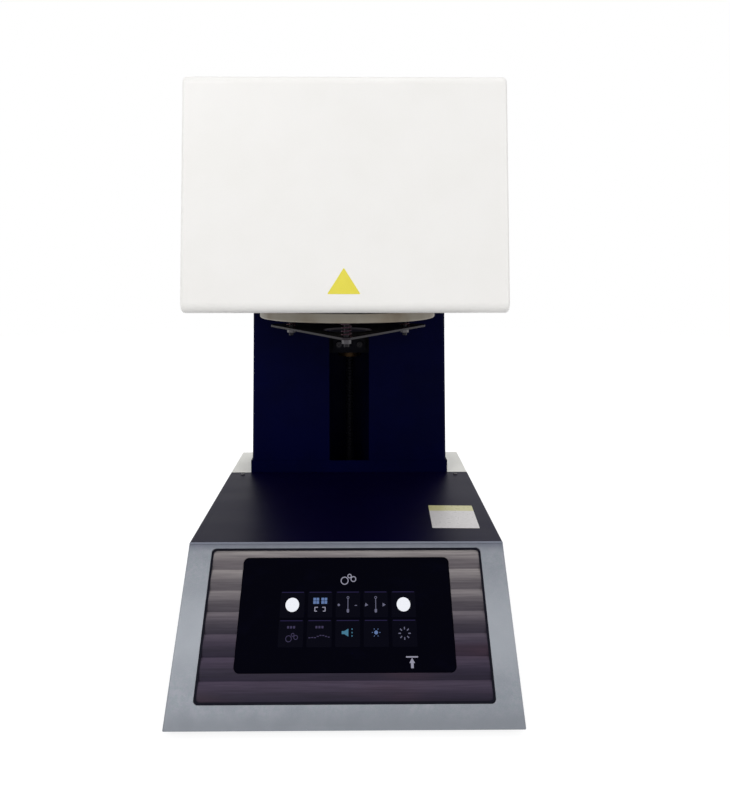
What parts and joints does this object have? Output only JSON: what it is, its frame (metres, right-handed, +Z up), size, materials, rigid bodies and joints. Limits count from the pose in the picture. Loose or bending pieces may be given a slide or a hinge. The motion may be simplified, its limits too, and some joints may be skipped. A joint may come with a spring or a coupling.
{
  "type": "dental lab furnace",
  "caption": "Bottom-loading dental lab furnace: sloped touch-panel base, lift column, firing head, and a sprung table that rides down on a lead screw to be loaded.",
  "frame": {"origin": "middle of the bounding box in plan, on the surface that the feet stand on", "axes": "+Z up; the control panel faces -Y; +X is to the right of someone facing the panel"},
  "size_m": [0.36, 0.514, 0.664],
  "materials": {
    "white_enamel": "gloss white powder coat",
    "navy_texture": "dark navy fine-texture powder coat",
    "grey_texture": "blue-grey metallic fine-texture coat",
    "pale_enamel": "pale grey-beige powder coat",
    "black_chassis": "black chassis paint",
    "ribbed_polymer": "satin charcoal moulding with a violet cast",
    "panel_glass": "black-backed touch glass",
    "zinc_steel": "zinc-plated sheet",
    "ground_steel": "ground bar",
    "dark_steel": "black-oxide steel",
    "plain_aluminium": "machined",
    "dark_aluminium": "black anodised",
    "table_steel": "heat-tinted brushed disc",
    "spring_steel": "heat-coloured spring wire",
    "fibre": "pressed fibre insulation",
    "dense_ceramic": "fired alumina",
    "element_silicide": "grey silicide rod",
    "black_plastic": "black moulding",
    "red_plastic": "red rocker",
    "foot_rubber": "moulded rubber",
    "board_green": "solder-masked board",
    "copper_winding": "varnished winding",
    "braid": "flat aluminium braid",
    "bronze": "turned bronze",
    "lead_sleeve": "glass-fibre sleeve"
  },
  "bodies": {
    "frame": {"base_pan": "black_chassis", "base_rear_panel": "pale_enamel", "bearing_blocks": "dark_aluminium", "column_collar": "navy_texture", "column_cover": "navy_texture", "column_frame": "black_chassis", "column_rear_cover": "navy_texture", "control_board": "board_green", "cover_screws": "zinc_steel", "deck_cover": "navy_texture", "display_module": "black_plastic", "element_holders": "dense_ceramic", "element_straps": "braid", "fan_frames": "black_plastic", "fan_guards": "zinc_steel", "feet": "foot_rubber", "foot_screws": "zinc_steel", "front_bezel": "grey_texture", "guide_rods": "ground_steel", "head_base_plate": "zinc_steel", "head_cover": "white_enamel", "head_rear_panel": "white_enamel", "heater_leads": "lead_sleeve", "heating_elements": "element_silicide", "lift_motor": "black_chassis", "limit_switches": "black_plastic", "motor_bracket": "zinc_steel", "muffle_can": "zinc_steel", "muffle_roof": "fibre", "muffle_wall": "fibre", "power_inlet": "black_plastic", "power_supply": "zinc_steel", "rear_housing": "pale_enamel", "relay_heat_sink": "dark_aluminium", "rib_panel": "ribbed_polymer", "screw_bearings": "ground_steel", "solid_state_relay": "black_plastic", "switch_body": "black_plastic", "thermocouple": "dense_ceramic", "touch_glass": "panel_glass", "transformer_coil": "copper_winding", "transformer_core": "dark_steel"},
    "lift": {"carriage": "dark_aluminium", "linear_bushes": "ground_steel", "lead_nut": "bronze", "lift_arm": "dark_steel", "carrier_plate": "zinc_steel", "arm_screws": "zinc_steel", "table_springs": "spring_steel"},
    "table": {"table_plate": "table_steel", "spring_posts": "zinc_steel", "post_nuts": "zinc_steel", "insulation_plug": "fibre", "firing_tray": "dense_ceramic"},
    "screw": {"motor_shaft": "ground_steel", "shaft_coupling": "plain_aluminium", "lead_screw": "dark_steel"},
    "base_fan": {"base_fan_rotor": "black_plastic"},
    "head_fan": {"head_fan_rotor": "black_plastic"},
    "rocker": {"switch_rocker": "red_plastic"}
  },
  "joints": [
    {"name": "lift_slide", "type": "slide", "parent": "frame", "child": "lift", "axis": [0, 0, -1], "range_m": [0, 0.2]},
    {"name": "table_float", "type": "slide", "parent": "lift", "child": "table", "axis": [0, 0, -1], "range_m": [0, 0.004], "stiffness_N_per_m": 24000, "springref_m": -0.004, "deforming": ["table_springs"]},
    {"name": "screw_turn", "type": "hinge", "parent": "frame", "child": "screw", "pos_m": [0, 0.205, 0.093], "axis": [0, 0, 1], "range_deg": [-1, 7201]},
    {"name": "base_fan_spin", "type": "hinge", "parent": "frame", "child": "base_fan", "pos_m": [0.131, 0.2395, 0.078], "axis": [0, 1, 0], "continuous": true},
    {"name": "head_fan_spin", "type": "hinge", "parent": "frame", "child": "head_fan", "pos_m": [-0.0765, 0.2395, 0.572], "axis": [0, 1, 0], "continuous": true},
    {"name": "rocker_tilt", "type": "hinge", "parent": "frame", "child": "rocker", "pos_m": [-0.101, 0.251, 0.062], "axis": [-1, 0, 0], "range_deg": [0, 16]}
  ],
  "couplings": [
    {"joint": "screw_turn", "follows": "lift_slide", "rad_per_m": 628.32}
  ]
}
